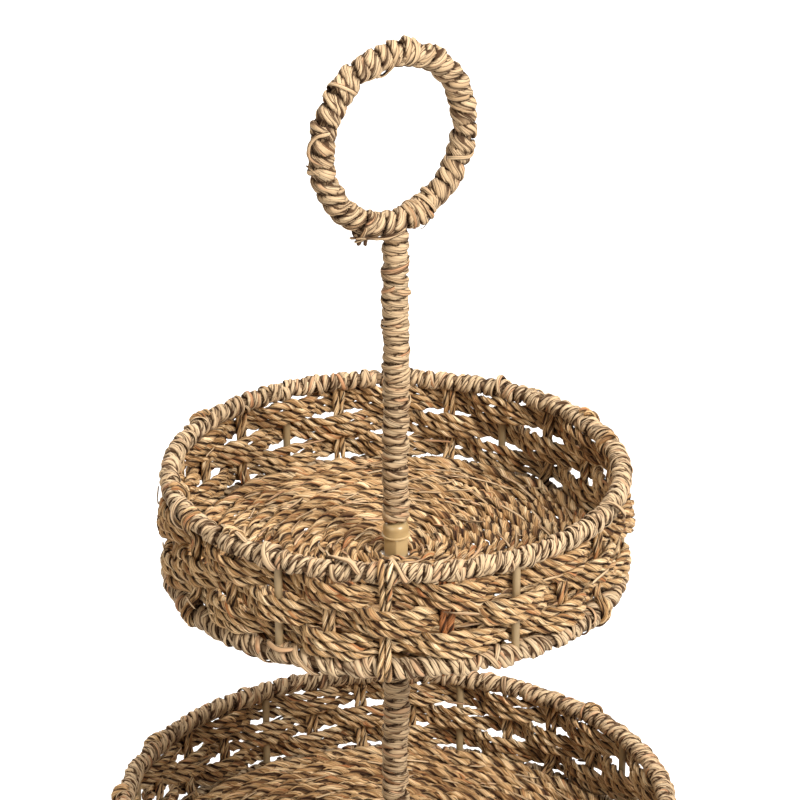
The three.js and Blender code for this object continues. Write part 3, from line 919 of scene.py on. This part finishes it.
def coupling_nut(tray):
    """Long hexagonal nut with chamfered corners, turned as its solid is."""
    name = f"{tray.name}_coupling_nut"
    low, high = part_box(name)
    points = [v.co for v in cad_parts[name].data.vertices]
    reach = max(math.hypot(p.x, p.y) for p in points)
    corner = next(p for p in points if math.hypot(p.x, p.y) > reach * 0.999)
    turned = Matrix.Rotation(math.atan2(corner.y, corner.x) - TURN / 4, 3, "Z")
    work = bmesh.new()
    bmesh.ops.create_cone(work, cap_ends=True, segments=6, radius1=reach, radius2=reach, depth=high.z - low.z)
    bmesh.ops.rotate(work, verts=work.verts[:], cent=(0, 0, 0), matrix=turned)
    bmesh.ops.translate(work, verts=work.verts[:], vec=(0, 0, (high.z + low.z) / 2))
    bmesh.ops.bevel(work, geom=work.edges[:], offset=0.55 * MM, offset_type="OFFSET", segments=2, profile=0.5,
                    affect="EDGES", material=-1)
    finish_metal(f"{tray.name}_hex_nut", work, STEEL, [name], 50)


def uprights(tray):
    """Round steel uprights, welded between the rings."""
    for k in range(tray.rods):
        node = f"{tray.name}_upright_{k + 1}"
        low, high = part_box(node)
        work = bmesh.new()
        bmesh.ops.create_cone(work, cap_ends=True, segments=20, radius1=WIRE / 2, radius2=WIRE / 2,
                              depth=high.z - low.z)
        bmesh.ops.translate(work, verts=work.verts[:], vec=(low + high) / 2)
        finish_metal(f"{node}_rod", work, ROD_STEEL, [node])


# The windings: pitch, cord, starts, hand, lay, loose and tone

UPPER_RIM = Winding(5.2 * MM, 3.9 * MM, 1, 1, 25 * MM, 0.17, 0.7, plump=0.97)
LOWER_RIM = Winding(5.8 * MM, 4.0 * MM, 1, 1, 30 * MM, 0.14, 0.56, plump=0.98, steps=20)
BASE = Winding(5.9 * MM, 4.6 * MM, 2, -1, 50 * MM, 0.16, 0.76, plump=0.92)
POST_WINDING = Winding(6.3 * MM, 4.3 * MM, 1, 1, 37 * MM, 0.1, 0.62, plump=0.9, blades=2, steps=30,
                       overlap=1.3)
HANDLE_WINDING = Winding(8.8 * MM, 4.5 * MM, 1, 1, 30 * MM, 0.07, 0.6, plump=1, steps=30)

# Strands that stand out, as shaped() takes them: the knot and loose ends, loops and peak of the ring first
HANDLE_BLADES = [
    (5.0, 0.6, [(3, 0.2, 0), (-6, 0.12, 0.4), (-13, 0.05, 0.2), (-21, 0.02, 0.2), (-28, 0.02, 0.2)]),
    (4.6, 0.5, [(-23, -0.12, -0.4), (-25, 0.0, 1.6), (-27, 0.12, 1.4), (-28, 0.22, -0.4)]),
    (3.4, 0.56, [(-22, 0.0, 1), (-27, 0.02, 2), (-31, 0.02, 3.2)]),
    (3.2, 0.56, [(-22, 0.04, 1), (-26, 0.06, 3), (-29, 0.05, 5)]),
    (3.4, 0.5, [(-21, 0.02, 1), (-24, 0.03, 3.2), (-26, 0.05, 6.2)]),
    (2.8, 0.6, [(-22, 0.06, 1), (-27, 0.09, 2.2), (-31, 0.1, 4)]),
    (3.0, 0.46, [(-20, 0.03, 1), (-22, 0.06, 3.4), (-23, 0.08, 6)]),
    (0.9, 0.2, [(12, 0.0, 0.4), (17, 0.02, 3.6), (22, 0.0, 3.8), (26, 0.02, 0.4)]),
    (3.8, 0.46, [(184, 0.28, -0.4), (187, 0.4, 0.4), (190, 0.47, 1.8), (194, 0.46, 1), (197, 0.38, -0.6)]),
    (3.0, 0.45, [(247, 0.22, -0.4), (251, 0.08, 0.5), (257, 0.02, 1.3), (263, 0.04, 0.8), (267, 0.18, -0.4)]),
    (1.8, 0.3, [(273, 0.12, 0), (269, 0.03, 1), (267, 0.0, 2.4)]),
]
HANDLE_TURNS = [
    (5.4, 0.52, [(8, 0.6, -3.0), (9, 0.44, -2), (11, 0.25, -1.2), (13, 0.06, -1.4), (14, -0.08, -3.0)]),
    (5.4, 0.56, [(13, 0.6, -3.0), (14, 0.44, -1.4), (16, 0.25, -0.6), (20, 0.05, -0.6), (21, -0.06, -2.6)]),
    (5.0, 0.48, [(18, 0.6, -3.0), (19, 0.42, -1.8), (21, 0.25, -1.2), (25, 0.04, -0.6), (26, -0.04, -2.2)]),
    (6.8, 0.56, [(181, 0.5, -3.2), (181, 0.32, -2), (180, 0.16, -1.8), (178, 0.0, -2), (176, -0.14, -3.2)]),
    (5.4, 0.54, [(171, 0.5, -3.2), (171, 0.34, -2), (170, 0.16, -1.4), (168, 0.0, 0.2), (165, -0.14, -2)]),
    (4.8, 0.5, [(165, 0.5, -3.2), (164, 0.3, -2), (163, 0.14, -1.6), (162, 0.0, -1.2), (160, -0.14, -3.2)]),
]
UPPER_RIM_BLADES = [
    (4.0, 0.5, [(421, 0.32, 0), (426, 0.12, 1.8), (430, 0.0, 3), (434, -0.1, 2.2), (439, -0.2, 0)]),
    (3.6, 0.5, [(755, 0.32, 0), (760, 0.1, 2.4), (764, -0.02, 4), (769, -0.12, 2.4), (773, -0.2, 0)]),
    (6.0, 0.6, [(506, 0.46, 0), (510, 0.2, 1), (515, 0.02, 1.2), (519, -0.1, 0)]),
    (5.0, 0.6, [(516, 0.42, 0), (514, 0.2, 1.2), (511, 0.04, 1.4), (508, -0.1, 0)]),
    (4.0, 0.6, [(466, 0.36, 0), (476, 0.3, 0.6), (486, 0.27, 0.7), (496, 0.2, 0)]),
    (4.6, 0.62, [(588, 0.5, 0), (591, 0.3, 1), (596, 0.1, 1.2), (600, -0.06, 0.2)]),
    (4.4, 0.6, [(549, 0.4, 0), (556, 0.28, 0.9), (566, 0.2, 1), (573, 0.05, 0)]),
    (4.0, 0.6, [(57, 0.5, 0), (60, 0.3, 1.4), (61, 0.1, 1.4), (60, -0.1, 0)]),
]
UPPER_BASE_BLADES = [
    (4.0, 0.52, [(511, 0.2, 0), (516, 0.14, 1.8), (521, 0.12, 2.2), (526, 0.14, 1.6), (531, 0.2, 0)]),
    (4.2, 0.55, [(528, 0.3, 0), (533, 0.1, 0.9), (541, -0.05, 0.9), (547, -0.2, 0)]),
    (3.8, 0.5, [(640, 0.26, 0), (650, 0.1, 1.1), (656, -0.06, 0.6)]),
]
TRAY_WINDINGS = {
    "upper": [("rim", UPPER_RIM, UPPER_RIM_BLADES), ("base", BASE, UPPER_BASE_BLADES)],
    "lower": [("rim", LOWER_RIM, []), ("base", BASE, [])],
}
TRAY_BLADES, POST_BLADES, RING_BLADES = 64, 12, 14      # loose blades on one winding of each

# The pieces. Each tray has a hundred seeds of its own.
for number, tray in enumerate(TRAYS):
    seeds = 100 * number
    for band in BANDS:
        wall_band(tray, band, seeds + band)
    for part, winding, shapes in TRAY_WINDINGS[tray.name]:
        core = tray_ring_core(tray, part)
        name = f"{tray.name}_{part}"
        wind(core, winding, f"{name}_winding", [f"{name}_wrap"], seeds + 11)
        loose_blades(core, winding, f"{name}_blades", [f"{name}_wrap"], TRAY_BLADES, shapes, seeds + 13)
    stays(tray, seeds + 21)
    floor_rows(tray, seeds + 31)
    slivers(tray, seeds + 35)
    ferrule(tray)
    coupling_nut(tray)
    uprights(tray)
collar()

handle = handle_core()
ring_foot = handle.lie(np.zeros(1))[0][0][2]
for name, seed in (("lower_post", 41), ("upper_post", 42)):
    low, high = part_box(f"{name}_wrap")
    core = post_core(low.z, high.z if name == "lower_post" else ring_foot - UNDER_RING)
    wind(core, POST_WINDING, f"{name}_winding", [f"{name}_wrap"], seed)
    loose_blades(core, POST_WINDING, f"{name}_blades", [f"{name}_wrap"], POST_BLADES, [], seed + 2)
RING_WRAP = ["handle_ring_wrap"]
wind(handle, HANDLE_WINDING, "handle_winding", RING_WRAP, 51)
loose_blades(handle, HANDLE_WINDING, "handle_blades", RING_WRAP, RING_BLADES, HANDLE_BLADES, 52)
extra_turns(handle, HANDLE_WINDING, "handle_turns", RING_WRAP, HANDLE_TURNS, 53)

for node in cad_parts.values():
    if not node.hide_render:
        node.data.materials.clear()
        node.data.materials.append(STEEL.material)


# Floor, light and camera

FLOOR_SIZE = 6                  # half of its side
FLOOR_GLOW = 0.8                # what the floor adds to itself for the eye, to be white
AIR = (1, 0.81, 0.61)           # light from all round
AIR_STRENGTH = 0.22
SOFT = (1, 0.95, 0.88)
VIEW_TURN = math.radians(-37.5)
VIEW_RISE = math.radians(24.45)
UNIT = TRAYS[0].radius
DISTANCE = 16 * UNIT
SIDE_SHIFT = 0.0185 * UNIT
UP_SHIFT = 0.3419 * UNIT
SENSOR = 36
FOCAL = 3648 / 800              # focal length over the width of the picture


def add_world():
    """Weak warm light from all round, in front of a white background."""
    world = bpy.data.worlds.new("studio")
    world.use_nodes = True
    n = Nodes(world.node_tree)
    warm = n.tree.nodes["Background"]
    n.fill(warm, {"Color": (*AIR, 1), "Strength": AIR_STRENGTH})
    white = n.node("ShaderNodeBackground", Color=(1, 1, 1, 1), Strength=1.0)
    mix = n.node("ShaderNodeMixShader", Fac=n.seen_rays())
    n.feed(mix.inputs[1], warm.outputs[0])
    n.feed(mix.inputs[2], white.outputs[0])
    n.fill(n.tree.nodes["World Output"], {"Surface": mix.outputs[0]})
    bpy.context.scene.world = world


def add_floor():
    """A pale floor that keeps the shadow and looks white round it."""
    work = bmesh.new()
    bmesh.ops.create_grid(work, x_segments=2, y_segments=2, size=FLOOR_SIZE)
    mesh = bpy.data.meshes.new("floor")
    work.to_mesh(mesh)
    work.free()
    floor = bpy.data.objects.new("floor", mesh)
    bpy.context.scene.collection.objects.link(floor)
    f = Finish("pale_floor")
    f.paint(Base_Color=(0.5, 0.5, 0.5, 1), Roughness=0.9, Emission_Color=(1, 1, 1, 1),
            Emission_Strength=f.calc("MULTIPLY", f.seen_rays(), FLOOR_GLOW))
    mesh.materials.append(f.material)
    floor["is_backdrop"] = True


def in_view(right, away, up):
    """A place as seen from the front: to the right, away from the camera, and up from the upper rim."""
    turned = Matrix.Rotation(VIEW_TURN, 3, "Z") @ Vector((right, away, up))
    return turned + Vector((0, 0, TRAYS[0].rim))


def aimed(name, data, place, target):
    """Puts a lamp or camera at place, looking at target."""
    holder = bpy.data.objects.new(name, data)
    holder.location = place
    holder.rotation_euler = (target - place).to_track_quat("-Z", "Y").to_euler()
    bpy.context.scene.collection.objects.link(holder)
    return holder


def add_lamp(name, place, size, power, colour=(1, 1, 1)):
    """A soft round lamp that looks at the upper tray."""
    lamp = bpy.data.lights.new(name, "AREA")
    lamp.shape = "DISK"
    lamp.size = size
    lamp.energy = power
    lamp.color = colour
    aimed(name, lamp, in_view(*place), in_view(0, 0, 0))


def add_camera():
    """The photo's own view."""
    camera = bpy.data.cameras.new("camera")
    camera.sensor_width = SENSOR
    camera.lens = FOCAL * SENSOR
    camera.clip_start, camera.clip_end = 0.05, 50
    back, rise = DISTANCE * math.cos(VIEW_RISE), DISTANCE * math.sin(VIEW_RISE)
    place, target = in_view(SIDE_SHIFT, -back, UP_SHIFT + rise), in_view(SIDE_SHIFT, 0, UP_SHIFT)
    bpy.context.scene.camera = aimed("camera", camera, place, target)


add_floor()
add_lamp("key", (1.7, -1.6, 1.65), 1.2, 144)
add_lamp("fill", (-1.5, -2.0, 1.1), 1.6, 30, SOFT)
add_lamp("top", (0.3, 0.5, 3.0), 1.8, 88)
add_lamp("back", (-1.0, 2.3, 1.2), 1.6, 34, SOFT)
add_world()
add_camera()
bpy.context.scene.view_settings.view_transform = "Standard"

low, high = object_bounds()
